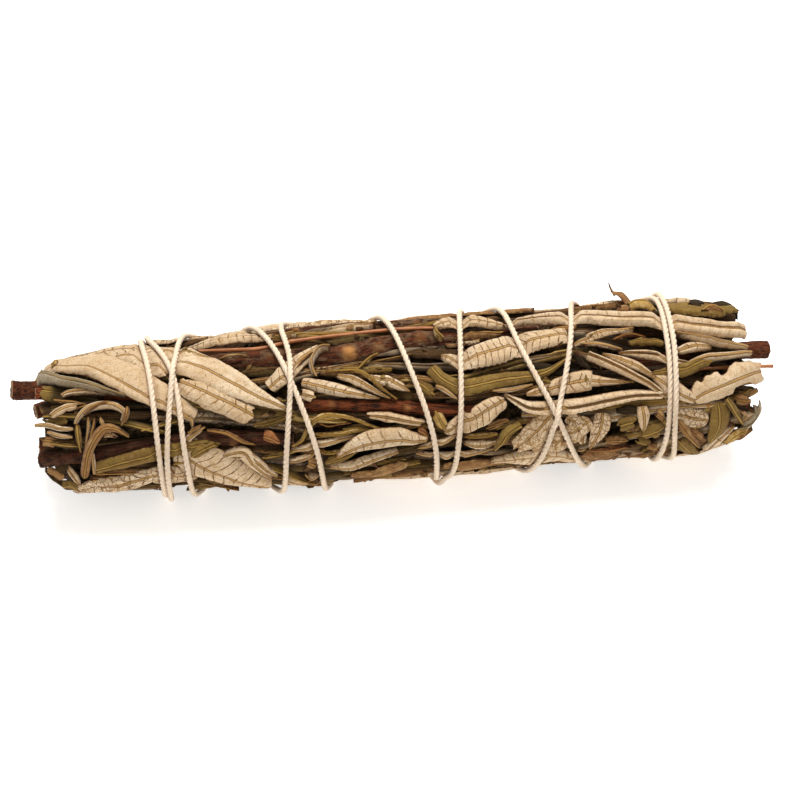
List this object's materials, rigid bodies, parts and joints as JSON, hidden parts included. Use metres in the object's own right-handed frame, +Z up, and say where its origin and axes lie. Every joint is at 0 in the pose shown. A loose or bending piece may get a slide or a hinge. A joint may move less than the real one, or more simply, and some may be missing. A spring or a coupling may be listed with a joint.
{
  "type": "dried sage bunch",
  "caption": "Bundle of dried pale-leaved mountain sage stems lying down, pressed into a roll and wound criss-cross with cotton twine.",
  "frame": {"origin": "bottom centre of the lying bundle, on the surface it rests on", "axes": "+X along the bundle, +Z up, -Y is the front side that the picture looks at from 50 degrees above"},
  "size_m": [0.2193, 0.0534, 0.0456],
  "materials": {
    "dried_leaf": "dry felted leaf, matte, pale tan with olive upper sides and golden-brown veins",
    "stem_bark": "dry dark red-brown bark, matte, with knots and pale cut ends",
    "twig": "thin dry orange-brown twig, satin",
    "cotton_twine": "three-ply undyed cotton twine, matte and slightly fuzzy"
  },
  "bodies": {
    "root": {"leaf_bunch": "dried_leaf", "stem_left": "stem_bark", "stem_left_inner": "stem_bark", "stem_low": "stem_bark", "stem_main": "stem_bark", "stem_top": "stem_bark", "stem_middle": "stem_bark", "stem_right": "stem_bark", "stem_back_high": "stem_bark", "stem_heart": "stem_bark", "twig_top": "twig", "twig_right": "twig", "twine": "cotton_twine"}
  },
  "joints": []
}
